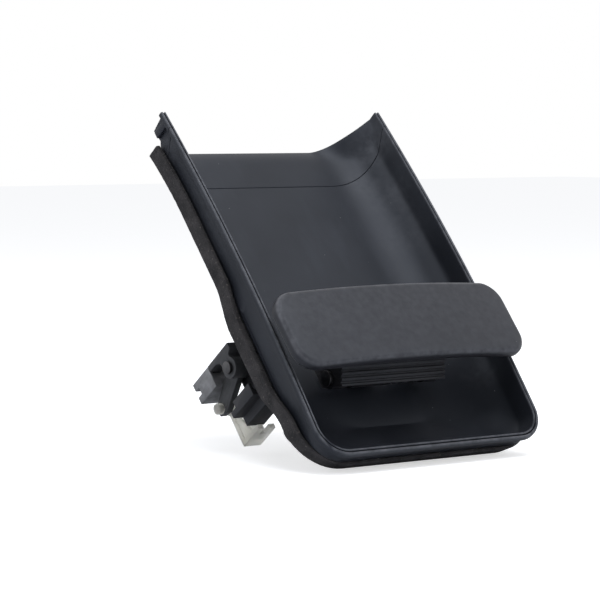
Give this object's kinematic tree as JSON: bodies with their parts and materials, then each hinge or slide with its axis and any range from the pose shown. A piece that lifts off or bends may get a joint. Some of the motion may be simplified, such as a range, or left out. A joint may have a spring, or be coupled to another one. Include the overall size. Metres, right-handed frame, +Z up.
{
  "type": "car door handle",
  "caption": "Recessed exterior door handle: a tall moulded dish with a bowed rim, a wide pull paddle across it, foam gasket, rear carrier, counterweight crank and rod clip.",
  "frame": {"origin": "centre of the flat end face of the middle seat pad on the back of the dish", "axes": "+Z up the door, +Y into the door, -Y outward, +X to the right seen from outside"},
  "size_m": [0.122, 0.083, 0.1749],
  "materials": {
    "dish_plastic": "fine grained black with a bluish sheen",
    "paddle_plastic": "satin black with worn bright edges",
    "foam": "soft closed cell foam, slightly fuzzy",
    "carrier_plastic": "glass filled nylon, satin",
    "crank_plastic": "light grey moulded plastic",
    "zinc": "die cast zinc, dull",
    "steel": "zinc plated",
    "brass": "turned",
    "nylon": "natural translucent nylon",
    "stop_rubber": "matte"
  },
  "bodies": {
    "root": {"dish_housing": "dish_plastic", "upper_end_piece": "dish_plastic", "foam_seal": "foam", "insert_upper_left": "brass", "insert_upper_right": "brass", "insert_lower_left": "brass", "insert_lower_right": "brass", "rear_carrier": "carrier_plastic", "carrier_screw_1": "steel", "carrier_screw_2": "steel", "carrier_screw_3": "steel", "carrier_screw_4": "steel", "pivot_pin": "steel", "pivot_clip": "steel", "return_spring": "steel", "crank_spring": "steel", "bump_stop": "stop_rubber"},
    "paddle": {"paddle": "paddle_plastic", "pull_lever": "carrier_plastic", "paddle_screw_1": "steel", "paddle_screw_2": "steel"},
    "crank": {"counterweight_crank": "crank_plastic", "counterweight": "zinc", "crank_pin": "steel", "crank_clip": "steel"},
    "rod_clip": {"rod_clip": "nylon"}
  },
  "joints": [
    {"name": "paddle_hinge", "type": "hinge", "parent": "root", "child": "paddle", "pos_m": [0, -0.016, -0.0635], "axis": [1, 0, 0], "range_deg": [0, 20], "stiffness_Nm_per_rad": 0.6, "springref_deg": -22.92},
    {"name": "crank_hinge", "type": "hinge", "parent": "root", "child": "crank", "pos_m": [-0.026, 0.012, -0.037], "axis": [1, 0, 0], "range_deg": [-20, 0]},
    {"name": "rod_clip_hinge", "type": "hinge", "parent": "crank", "child": "rod_clip", "pos_m": [-0.042, 0.031, -0.045], "axis": [1, 0, 0], "range_deg": [0, 20]}
  ],
  "couplings": [
    {"joint": "crank_hinge", "follows": "paddle_hinge", "ratio": -1},
    {"joint": "rod_clip_hinge", "follows": "paddle_hinge", "ratio": 1}
  ]
}
